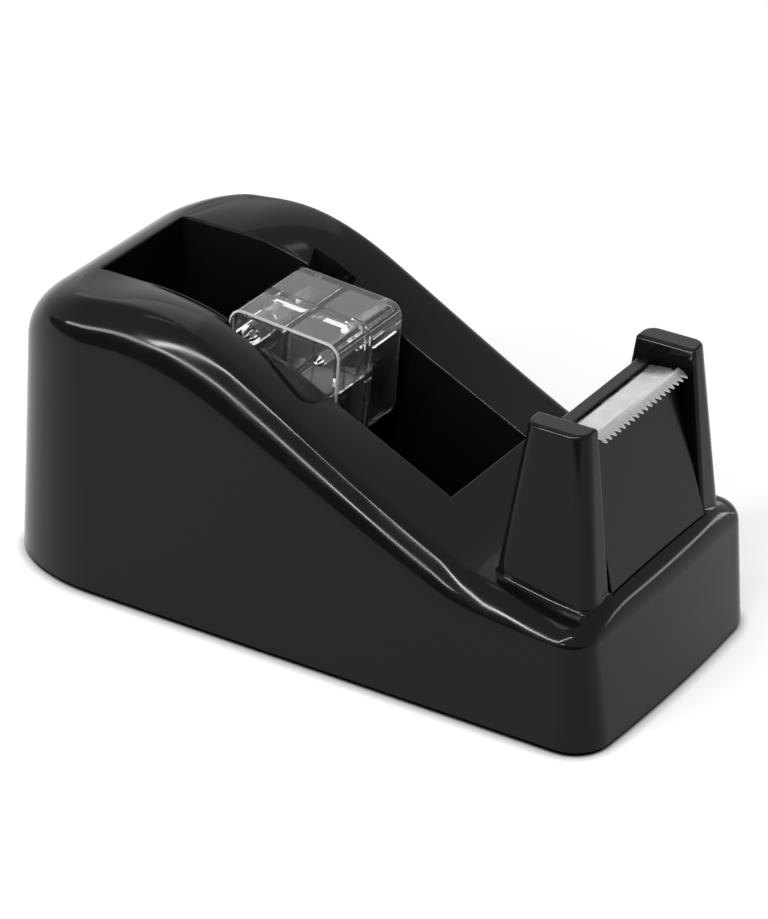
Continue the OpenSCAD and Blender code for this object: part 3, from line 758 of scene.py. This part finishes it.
def cavity(form):
    """The hollow under the housing, less the walls round the well, the slots and the seat."""
    s, well, posts = form.sizes, form.well, form.posts
    wall = s.wall
    rings = [form.foot_points(-BELOW, wall)]
    rings += [form.shoulder_points(t, wall) for t in quarter(0.0, ROOF_ROUND)]
    last = rings[-1]
    for i in range(1, ROOF_STEPS + 1):
        t = i / ROOF_STEPS
        plan = [(mix(p.x, p.x * ROOF_LENGTH, t), p.y * (1 - t)) for p in last]
        rings.append([Vector((x, y, form.height(x, y) - wall)) for x, y in plan])
    bm = bmesh.new()
    loft(bm, [both_sides(ring) for ring in rings])
    bmesh.ops.remove_doubles(bm, verts=bm.verts, dist=TOUCH)
    hollow = finish_mesh(bm, "hollow")
    above, below = s.crest_height + ABOVE, -2 * BELOW
    half = well.width / 2 + wall
    front = form.post_front + posts.seat_reach
    solids = [
        block("well", (form.well_from - wall, -half, below), (form.well_to + wall, half, above)),
        slot_cutter(form, wall, well.width / 2 + well.slot_depth + wall),
        block(
            "seat",
            (form.post_rear + posts.seat_short - wall, -posts.gap / 2 - wall, form.seat - wall),
            (front + wall, posts.gap / 2 + wall, above),
        ),
    ]
    solids += [rod("boss", place, s.boss_radius, below, above) for place in screw_places()]
    return combine(hollow, "DIFFERENCE", solids)


def screw_nodes():
    """Names of the frame's screws."""
    return [name for name in frame["nodes"] if name.startswith("screw_")]


def screw_places():
    """Middles of the frame's screws."""
    return [sum(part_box(name), Vector()) / 2 for name in screw_nodes()]


def build_shell():
    """The housing: the outer form and the posts, less the hollow and all that is cut from it."""
    form = Form()
    s, well, posts = form.sizes, form.well, form.posts
    shell = lofted("housing_shell", outer_rings(form))
    combine(shell, "UNION", [lofted("post", post_rings(form, side)) for side in (-1, 1)])
    above = s.crest_height + ABOVE
    seat = block(
        "seat",
        (form.post_rear + posts.seat_short, -posts.gap / 2, form.seat),
        (form.post_front + posts.seat_reach, posts.gap / 2, above),
    )
    slots = slot_cutter(form, 0, well.width / 2 + well.slot_depth)
    recess_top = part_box("base_plate")[1].z
    recess = lofted(
        "recess",
        [
            both_sides([Vector((p.x, p.y, z)) for p in form.foot_points(recess_top, s.wall)])
            for z in (-BELOW, recess_top)
        ],
    )
    peg_x = (form.post_rear + posts.seat_short + form.post_front + posts.seat_reach) / 2
    peg_low, peg_high = form.seat - 2 * s.wall, form.seat + BELOW
    holes = [
        rod("hole", place, s.boss_hole, 0.0, recess_top + s.boss_depth, segments=32)
        for place in screw_places()
    ]
    holes += [
        rod("hole", (peg_x, side), posts.peg_hole, peg_low, peg_high, segments=32)
        for side in (-posts.peg_side, posts.peg_side)
    ]
    combine(shell, "DIFFERENCE", [seat, slots, cavity(form), recess])
    combine(shell, "DIFFERENCE", holes)
    shade(shell)
    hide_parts("housing")
    return shell


# ---- Hub ----

# Edges of the hub shorter than this are closed before its edges are broken.
SPECK = 0.01 * MM
# A face is part of a rounded outer edge when it looks along the axle by a share between these.
ROUNDED = (0.1, 0.99)
# The hub's material slot for its edges with a painted highlight, after the one for the clear
# plastic.
PAINTED_HIGHLIGHT_SLOT = 1


def rounded_ring(half, radius, y, middle=(0.0, 0.0), steps=8):
    """Points round a square with rounded corners that stands across the hub's axle."""
    reach = half - radius
    points = []
    for k, (x, z) in enumerate(((1, 1), (-1, 1), (-1, -1), (1, -1))):
        for t in quarter(pi / 2 * k, steps):
            across = middle[0] + x * reach + radius * cos(t)
            points.append(Vector((across, y, middle[1] + z * reach + radius * sin(t))))
    return points


def cross_rod(name, place, radius, start, end):
    """A cylinder along the hub's axle."""
    bm = bmesh.new()
    bmesh.ops.create_cone(
        bm, cap_ends=True, segments=56, radius1=radius, radius2=radius, depth=end - start
    )
    bmesh.ops.rotate(bm, matrix=Matrix.Rotation(pi / 2, 3, "X"), verts=bm.verts)
    bmesh.ops.translate(bm, vec=(place[0], (start + end) / 2, place[1]), verts=bm.verts)
    return finish_mesh(bm, name)


def hub_pockets(h):
    """The four hollows between the ribs, wide inside and narrower at the rim of the seam."""
    pockets = []
    floor = h.plate - h.half
    # Each mouth starts inside its pocket, so that the two cuts meet.
    for name, limit, start, end in (
        ("pocket", h.skirt, floor, -h.plate),
        ("mouth", h.seam_rim, -1.2 * h.plate, h.plate),
    ):
        half = (h.side / 2 - limit - h.rib / 2) / 2
        for x, z in ((1, 1), (-1, 1), (-1, -1), (1, -1)):
            middle = (x * (half + h.rib / 2), z * (half + h.rib / 2))
            rings = [rounded_ring(half, h.pocket_corner, y, middle) for y in (start, end)]
            pockets.append(lofted(name, rings))
    return pockets


def hub_windows(h):
    """The openings in the skirt at the front and, higher, at the rear."""
    near, far, low = h.plate - h.half, -h.plate, h.skirt - h.side / 2
    inner, outer = h.side / 2 - h.corner, h.side / 2 + h.plate
    return [
        block("front_window", (inner, near, low), (outer, far, h.window_low)),
        block("rear_window", (-outer, near, low), (-inner, far, h.window_high)),
    ]


def paint_edge_highlight(half, width):
    """Breaks the sharp edges, and puts them and the rounded outer ones in the slot of the painted
    edge highlight.
    """
    bm = bmesh.new()
    bm.from_mesh(half.data)
    bmesh.ops.dissolve_degenerate(bm, dist=SPECK, edges=bm.edges)
    bm.normal_update()
    rounded = [face for face in bm.faces if ROUNDED[0] < abs(face.normal.y) < ROUNDED[1]]
    for face in (*rounded, *soften(bm, width, 2)):
        if face.is_valid:
            face.material_index = PAINTED_HIGHLIGHT_SLOT
    bm.to_mesh(half.data)
    bm.free()


def build_hub_half(side, turned):
    """One half of the hub, the near one as it is and the far one turned round."""
    h = settings("hub")
    node = "hub_half_" + side
    tip = abs(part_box("hub_half_near")[0].y)
    # The seam's edges are broken by a few times the gap, so that it shows as a fine line.
    bevel = 3 * h.seam
    turns = quarter(0.0, 6)
    ends = [(h.edge * (1 - sin(t)), h.edge * (1 - cos(t)) - h.half) for t in turns]
    ends += [(0.0, -h.seam - bevel), (bevel, -h.seam)]
    rings = [rounded_ring(h.side / 2 - inset, h.corner - inset, y) for inset, y in ends]
    half = lofted("clear_hub_" + side, rings)
    open_to = h.side / 2 - h.seam_rim
    gap = block("rib_gap", (-open_to, -h.play, -open_to), (open_to, h.plate, open_to))
    combine(half, "DIFFERENCE", [*hub_pockets(h), *hub_windows(h), gap])
    root, socket = 0.7 * h.plate - h.half, (-h.peg_side, h.peg_up)
    pieces = [
        cross_rod("socket", socket, h.socket, root, -h.play),
        cross_rod("peg", (h.peg_side, h.peg_up), h.peg, root, h.peg_reach),
        cross_rod("stub", (0.0, 0.0), h.stub, -tip, root),
    ]
    combine(half, "UNION", pieces)
    depth = h.peg_reach + h.peg_room
    combine(half, "DIFFERENCE", [cross_rod("hole", socket, h.peg + h.play / 2, -depth, h.plate)])
    paint_edge_highlight(half, h.inner_edge)
    place = Matrix.Translation(hub_axis()) @ Matrix.Rotation(h.turn, 4, "Y")
    half.data.transform(place @ Matrix.Rotation(pi if turned else 0.0, 4, "Z"))
    shade(half)
    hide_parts(node)
    return half


# ---- Materials ----


def add_node(tree, kind, inputs=None, **values):
    """A new node with its values, and the values of its unlinked inputs."""
    node = tree.nodes.new(kind)
    for name, value in values.items():
        setattr(node, name, value)
    for name, value in (inputs or {}).items():
        node.inputs[name].default_value = value
    return node


def empty_tree(owner):
    """The node tree of a new material or world, without its first nodes."""
    owner.use_nodes = True
    owner.node_tree.nodes.clear()
    return owner.node_tree


class Sheet:
    """A material under construction: its tree, its Principled shader and ways to add nodes."""

    def __init__(self, name):
        self.material = bpy.data.materials.new(name)
        self.tree = empty_tree(self.material)
        self.shader = self.add("ShaderNodeBsdfPrincipled")
        output = self.add("ShaderNodeOutputMaterial")
        self.link(self.shader.outputs[0], output.inputs["Surface"])

    def add(self, kind, **values):
        return add_node(self.tree, kind, **values)

    def link(self, source, target):
        self.tree.links.new(source, target)

    def set(self, **values):
        """Sets sockets of the shader, whose names are written with low lines."""
        for name, value in values.items():
            self.shader.inputs[name.replace("_", " ")].default_value = value

    def effect(self, name, **values):
        """A shared effect at this piece's own coordinates, with its own values."""
        node = self.add("ShaderNodeGroup", node_tree=effect(name), inputs=values)
        self.link(self.add("ShaderNodeTexCoord").outputs["Object"], node.inputs["Place"])
        return node

    def bump(self, height, distance, strength=1.0):
        """Lets a height shape the surface's normal."""
        values = {"Strength": strength, "Distance": distance}
        node = self.add("ShaderNodeBump", inputs=values)
        self.link(height, node.inputs["Height"])
        self.link(node.outputs[0], self.shader.inputs["Normal"])

    def cover(self, name, low, high, distance, strength):
        """Spreads an effect over the surface, which gives its roughness and its fine relief."""
        spread = self.effect(name, Low=low, High=high)
        self.link(spread.outputs["Roughness"], self.shader.inputs["Roughness"])
        self.bump(spread.outputs["Height"], distance, strength)


def new_group(name, inputs, outputs):
    """An empty node group. inputs maps names to defaults, and outputs lists names."""
    group = bpy.data.node_groups.new(name, "ShaderNodeTree")
    group.interface.new_socket("Place", in_out="INPUT", socket_type="NodeSocketVector")
    for label, value in inputs.items():
        socket = group.interface.new_socket(label, in_out="INPUT", socket_type="NodeSocketFloat")
        socket.default_value = value
    for label in outputs:
        group.interface.new_socket(label, in_out="OUTPUT", socket_type="NodeSocketFloat")
    return group, group.nodes.new("NodeGroupInput"), group.nodes.new("NodeGroupOutput")


def moulding_group():
    """Faint waviness of a polished moulding, and the haze of handling on it."""
    group, source, result = new_group(
        "moulded_gloss", {"Low": 0.08, "High": 0.16}, ["Height", "Roughness"]
    )
    wave = add_node(group, "ShaderNodeTexNoise", inputs={"Scale": 55.0, "Detail": 1.0})
    haze = add_node(group, "ShaderNodeTexNoise", inputs={"Scale": 160.0, "Detail": 5.0})
    spread = add_node(group, "ShaderNodeMapRange", inputs={"From Min": 0.35, "From Max": 0.68})
    links = group.links
    for node in (wave, haze):
        links.new(source.outputs["Place"], node.inputs["Vector"])
    links.new(haze.outputs["Fac"], spread.inputs["Value"])
    links.new(source.outputs["Low"], spread.inputs["To Min"])
    links.new(source.outputs["High"], spread.inputs["To Max"])
    links.new(wave.outputs["Fac"], result.inputs["Height"])
    links.new(spread.outputs["Result"], result.inputs["Roughness"])
    return group


def grain_group():
    """Fine irregular grain of rubber, castings and spark-eroded plastic."""
    group, source, result = new_group("fine_grain", {"Scale": 1800.0}, ["Height", "Mask"])
    grain = add_node(group, "ShaderNodeTexNoise", inputs={"Detail": 4.0, "Roughness": 0.6})
    patches = add_node(group, "ShaderNodeTexNoise", inputs={"Scale": 70.0, "Detail": 3.0})
    links = group.links
    links.new(source.outputs["Place"], grain.inputs["Vector"])
    links.new(source.outputs["Place"], patches.inputs["Vector"])
    links.new(source.outputs["Scale"], grain.inputs["Scale"])
    links.new(grain.outputs["Fac"], result.inputs["Height"])
    links.new(patches.outputs["Fac"], result.inputs["Mask"])
    return group


def rolled_group():
    """Fine lines left by rolling or turning, along Y, and dull patches between them."""
    group, source, result = new_group(
        "rolled_lines", {"Low": 0.2, "High": 0.4}, ["Height", "Roughness"]
    )
    stretch = add_node(
        group, "ShaderNodeVectorMath", operation="MULTIPLY", inputs={1: (2600.0, 90.0, 2600.0)}
    )
    lines = add_node(group, "ShaderNodeTexNoise", inputs={"Scale": 1.0, "Detail": 3.0})
    dull = add_node(group, "ShaderNodeTexNoise", inputs={"Scale": 420.0, "Detail": 4.0})
    spread = add_node(group, "ShaderNodeMapRange", inputs={"From Min": 0.3, "From Max": 0.7})
    links = group.links
    links.new(source.outputs["Place"], stretch.inputs[0])
    links.new(stretch.outputs[0], lines.inputs["Vector"])
    links.new(source.outputs["Place"], dull.inputs["Vector"])
    links.new(dull.outputs["Fac"], spread.inputs["Value"])
    links.new(source.outputs["Low"], spread.inputs["To Min"])
    links.new(source.outputs["High"], spread.inputs["To Max"])
    links.new(lines.outputs["Fac"], result.inputs["Height"])
    links.new(spread.outputs["Result"], result.inputs["Roughness"])
    return group


EFFECTS = {"moulded": moulding_group, "grain": grain_group, "rolled": rolled_group}


def effect(name):
    """A shared effect, made the first time that it is asked for."""
    maker = EFFECTS[name]
    key = "dispenser_" + name
    if key not in bpy.data.node_groups:
        maker().name = key
    return bpy.data.node_groups[key]


def gloss_black(name, low, high):
    """Polished black plastic, with a low specular level that keeps it deep in a white room."""
    sheet = Sheet(name)
    sheet.set(Base_Color=(*settings("finish").gloss, 1.0), IOR=1.45, Specular_IOR_Level=0.17)
    sheet.cover("moulded", low, high, distance=0.02 * MM, strength=0.35)
    return sheet.material


def clear_plastic(name, clearness, low, high):
    """Clear moulded plastic with a faint haze. The hub's edges get a less clear copy with more
    haze, whose whitish share is a painted highlight.
    """
    finish = settings("finish")
    sheet = Sheet(name)
    sheet.set(
        Base_Color=(*finish.clear, 1.0),
        IOR=1.49,
        Specular_Tint=(finish.glint, finish.glint, finish.glint, 1.0),
        Transmission_Weight=clearness,
    )
    sheet.cover("moulded", low, high, distance=0.02 * MM, strength=0.3)
    return sheet.material


def bright_metal(name, base, low, high, distance, strength):
    """Rolled or turned metal."""
    sheet = Sheet(name)
    sheet.set(Base_Color=(*base, 1.0), Metallic=1.0)
    sheet.cover("rolled", low, high, distance, strength)
    return sheet.material


def grained(name, base, lighter, low, high, scale, depth, metallic=0.0):
    """A matt surface with fine grain and slightly lighter patches."""
    sheet = Sheet(name)
    sheet.set(Metallic=metallic)
    grain = sheet.effect("grain", Scale=scale)
    tint = sheet.add("ShaderNodeMix", data_type="RGBA")
    tint.inputs["A"].default_value = (*base, 1.0)
    tint.inputs["B"].default_value = (*[c * lighter for c in base], 1.0)
    rough = sheet.add("ShaderNodeMapRange", inputs={"To Min": low, "To Max": high})
    sheet.link(grain.outputs["Mask"], tint.inputs["Factor"])
    sheet.link(grain.outputs["Height"], rough.inputs["Value"])
    sheet.link(tint.outputs["Result"], sheet.shader.inputs["Base Color"])
    sheet.link(rough.outputs["Result"], sheet.shader.inputs["Roughness"])
    sheet.bump(grain.outputs["Height"], depth)
    return sheet.material


def dress(obj, material, body):
    """Gives a new piece its material and the body that it rides on."""
    obj.data.materials.append(material)
    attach(obj, body)


def paint(material, *nodes):
    """Gives frame nodes that stay a better material."""
    for name in nodes:
        for slot in frame["nodes"][name].material_slots:
            slot.material = material


# ---- Operators ----


class BuildHousing(Operator):
    """Build the moulded housing with its well, slots and posts"""

    bl_idname = "dispenser.build_housing"
    bl_label = "Build housing"

    def execute(self, context):
        gloss = gloss_black("gloss_black_housing", low=0.07, high=0.14)
        dress(build_shell(), gloss, "dispenser")
        return {"FINISHED"}


class BuildCutter(Operator):
    """Build the cutter's bridge and its toothed blade"""

    bl_idname = "dispenser.build_cutter"
    bl_label = "Build cutter"

    def execute(self, context):
        edges = settings("softening")
        gloss = gloss_black("gloss_black_bridge", low=0.16, high=0.26)
        steel = bright_metal(
            "rolled_steel",
            settings("finish").steel,
            low=0.16,
            high=0.34,
            distance=0.01 * MM,
            strength=0.4,
        )
        bridge = softened("cutter_bridge", "bridge_panel", edges.bridge, edges.steps)
        dress(bridge, gloss, "dispenser")
        blade = softened("cutter_blade", "toothed_blade", edges.blade, 2)
        dress(blade, steel, "dispenser")
        return {"FINISHED"}


class BuildHub(Operator):
    """Build the two halves of the clear hub"""

    bl_idname = "dispenser.build_hub"
    bl_label = "Build hub"

    def execute(self, context):
        clear = clear_plastic("clear_plastic", clearness=0.985, low=0.015, high=0.05)
        # Less clear, whitish plastic on the hub's edges is a painted highlight.
        painted_highlight = clear_plastic("clear_edges_painted_highlight", clearness=0.7, low=0.12, high=0.25)
        for side, turned in (("near", False), ("far", True)):
            half = build_hub_half(side, turned)
            dress(half, clear, "hub")
            half.data.materials.append(painted_highlight)
        return {"FINISHED"}


class FinishBase(Operator):
    """Give the base plate, pad, weights and screws their materials"""

    bl_idname = "dispenser.finish_base"
    bl_label = "Finish base"

    def execute(self, context):
        finish = settings("finish")
        plate = grained(
            "matt_base", finish.matt, lighter=1.5, low=0.5, high=0.7, scale=2200, depth=0.015 * MM
        )
        rubber = grained(
            "foam_rubber",
            finish.rubber,
            lighter=1.8,
            low=0.75,
            high=0.95,
            scale=1500,
            depth=0.08 * MM,
        )
        iron = grained(
            "cast_iron",
            finish.iron,
            lighter=1.4,
            low=0.5,
            high=0.75,
            scale=900,
            depth=0.1 * MM,
            metallic=1.0,
        )
        zinc = bright_metal(
            "zinc_plate", finish.zinc, low=0.3, high=0.5, distance=0.02 * MM, strength=0.5
        )
        paint(plate, "base_plate")
        paint(rubber, "non_slip_pad")
        paint(iron, "weight_near", "weight_far", "weight_front")
        paint(zinc, *screw_nodes())
        return {"FINISHED"}


class SetStage(Operator):
    """Set the floor, the white surround, the lamps and the camera"""

    bl_idname = "dispenser.set_stage"
    bl_label = "Set stage"

    def execute(self, context):
        build_floor()
        build_card()
        build_surround()
        for lamp in LAMPS:
            build_lamp(*lamp)
        build_camera()
        context.scene.view_settings.view_transform = "Standard"
        return {"FINISHED"}


# ---- Stage ----


def seen_directly(tree):
    """1 for rays that show a surface: from the camera, or by way of metal or glass."""
    path = add_node(tree, "ShaderNodeLightPath")
    total = path.outputs["Is Camera Ray"]
    for name in ("Is Glossy Ray", "Is Transmission Ray"):
        highest = add_node(tree, "ShaderNodeMath", operation="MAXIMUM")
        tree.links.new(total, highest.inputs[0])
        tree.links.new(path.outputs[name], highest.inputs[1])
        total = highest.outputs[0]
    return total


def flat_sheet(name, size, place=None):
    """A square sheet for the stage, with its place and stretch in its mesh."""
    bm = bmesh.new()
    bmesh.ops.create_grid(bm, x_segments=1, y_segments=1, size=size / 2)
    bmesh.ops.transform(bm, matrix=place or Matrix(), verts=bm.verts)
    return finish_mesh(bm, name)


def build_floor():
    """A pale floor that glows white where it is seen, with painted shade that darkens it close
    under the object.
    """
    studio = settings("studio")
    floor = flat_sheet("studio_floor", 12.0)
    material = bpy.data.materials.new("studio_floor")
    tree = empty_tree(material)
    links = tree.links

    def times(factor):
        """A node that multiplies what it is given by factor."""
        return add_node(tree, "ShaderNodeMath", operation="MULTIPLY", inputs={1: factor})

    # Painted shade: black where 0.3 or less of the space within reach is open, and full where 0.8
    # or more is; it darkens both the floor's grey and its glow.
    painted_floor_shade = add_node(tree, "ShaderNodeAmbientOcclusion", inputs={"Distance": studio.contact})
    level = add_node(tree, "ShaderNodeMapRange", inputs={"From Min": 0.3, "From Max": 0.8})
    grey, shine, strength = times(studio.floor_grey), times(studio.floor_glow), times(1.0)
    diffuse = add_node(tree, "ShaderNodeBsdfDiffuse")
    glow = add_node(tree, "ShaderNodeEmission")
    both = add_node(tree, "ShaderNodeAddShader")
    output = add_node(tree, "ShaderNodeOutputMaterial")
    links.new(painted_floor_shade.outputs["AO"], level.inputs["Value"])
    links.new(level.outputs["Result"], grey.inputs[0])
    links.new(level.outputs["Result"], shine.inputs[0])
    links.new(grey.outputs[0], diffuse.inputs["Color"])
    links.new(seen_directly(tree), strength.inputs[0])
    links.new(shine.outputs[0], strength.inputs[1])
    links.new(strength.outputs[0], glow.inputs["Strength"])
    links.new(diffuse.outputs[0], both.inputs[0])
    links.new(glow.outputs[0], both.inputs[1])
    links.new(both.outputs[0], output.inputs["Surface"])
    floor.data.materials.append(material)


def build_card():
    """A dark card in front, out of the frame, that the shoulders reflect as a dark band."""
    studio = settings("studio")
    card = flat_sheet(
        "dark_card",
        1.0,
        Matrix.Translation((0.0, -studio.card_back, studio.card_height / 2))
        @ Matrix.Rotation(pi / 2, 4, "X")
        @ Matrix.Diagonal((studio.card_length, studio.card_height, 1.0, 1.0)),
    )
    colour = settings("finish").card
    paper = grained("dark_card", colour, lighter=1.2, low=0.9, high=1.0, scale=900, depth=0.0)
    card.data.materials.append(paper)
    for name in ("camera", "diffuse", "transmission", "shadow"):
        setattr(card, "visible_" + name, False)


def build_surround():
    """White where it is seen, and softer as light."""
    world = bpy.data.worlds.new("studio_surround")
    bpy.context.scene.world = world
    tree = empty_tree(world)
    background = add_node(tree, "ShaderNodeBackground")
    output = add_node(tree, "ShaderNodeOutputWorld")
    spread = add_node(tree, "ShaderNodeMapRange", inputs={"To Min": settings("studio").surround})
    tree.links.new(seen_directly(tree), spread.inputs["Value"])
    tree.links.new(spread.outputs["Result"], background.inputs["Strength"])
    tree.links.new(background.outputs[0], output.inputs["Surface"])


# A soft lamp behind, and strips that draw the lines along the shoulders. Each has its name, the
# two ends of its middle line in metres, its width in metres and its power in watts.
LAMPS = (
    ("soft_rear", (-1.2, 0.6, 0.95), (-0.3, 1.25, 0.95), 1.0, 2.0),
    ("strip_high", (-0.48, -1.0, 0.17), (0.29, -0.47, 1.0), 0.04, 10.0),
    ("strip_low", (-0.62, -1.08, 0.05), (0.06, -1.06, 0.4), 0.035, 4.2),
    ("strip_left", (-1.05, -0.72, 0.07), (-0.56, -1.02, 0.09), 0.07, 3.0),
    ("strip_top", (-0.15, 0.25, 1.0), (-0.42, -0.3, 0.9), 0.05, 0.5),
    ("strip_rear", (0.4, 1.25, 0.12), (1.1, 0.75, 0.12), 0.1, 2.2),
)


def build_lamp(name, start, end, width, power):
    """An area lamp along a line, turned to the middle of the frame."""
    start, end = Vector(start), Vector(end)
    place = (start + end) / 2
    along = (end - start).normalized()
    back = place - Vector(settings("studio").aim)
    back = (back - along * back.dot(along)).normalized()
    light = bpy.data.lights.new(name, "AREA")
    light.shape = "RECTANGLE"
    light.size, light.size_y = (end - start).length, width
    light.energy = power
    obj = bpy.data.objects.new(name, light)
    bpy.context.scene.collection.objects.link(obj)
    obj.location = place
    obj.rotation_euler = Matrix((along, back.cross(along), back)).transposed().to_euler()


def build_camera():
    """The camera, at the angle and distance that the sizes give."""
    studio = settings("studio")
    camera = bpy.data.cameras.new("camera")
    camera.lens = studio.focal
    camera.sensor_width = 36.0
    camera.clip_start = 0.01
    obj = bpy.data.objects.new("camera", camera)
    bpy.context.scene.collection.objects.link(obj)
    flat = cos(studio.elevation)
    back = Vector((sin(studio.azimuth) * flat, -cos(studio.azimuth) * flat, sin(studio.elevation)))
    obj.location = Vector(studio.aim) + back * studio.distance
    obj.rotation_euler = (pi / 2 - studio.elevation, 0.0, studio.azimuth)
    bpy.context.scene.camera = obj


# ---- Panel and registration ----


OPERATORS = (BuildHousing, BuildCutter, BuildHub, FinishBase, SetStage)


class DispenserPanel(Panel):
    """Settings and build steps in the 3D view's sidebar"""

    bl_idname = "VIEW3D_PT_dispenser"
    bl_label = "Tape dispenser"
    bl_space_type = "VIEW_3D"
    bl_region_type = "UI"
    bl_category = "Dispenser"

    def draw(self, context):
        for name, group in GROUPS.items():
            box = self.layout.box()
            box.label(text=name.capitalize())
            for prop in group.__annotations__:
                box.prop(settings(name), prop)
        for operator in OPERATORS:
            self.layout.operator(operator.bl_idname)


def register():
    """Adds the settings, the operators and the panel."""
    for cls in (*GROUPS.values(), *OPERATORS, DispenserPanel):
        bpy.utils.register_class(cls)
    for name, group in GROUPS.items():
        setattr(bpy.types.Scene, "dispenser_" + name, PointerProperty(type=group))


def unregister():
    """Removes what register added."""
    for name in GROUPS:
        delattr(bpy.types.Scene, "dispenser_" + name)
    for cls in (DispenserPanel, *OPERATORS, *GROUPS.values()):
        bpy.utils.unregister_class(cls)


def main():
    """Builds all pieces and the stage."""
    register()
    bpy.ops.dispenser.build_housing()
    bpy.ops.dispenser.build_cutter()
    bpy.ops.dispenser.build_hub()
    bpy.ops.dispenser.finish_base()
    bpy.ops.dispenser.set_stage()


if __name__ == "__main__":
    main()
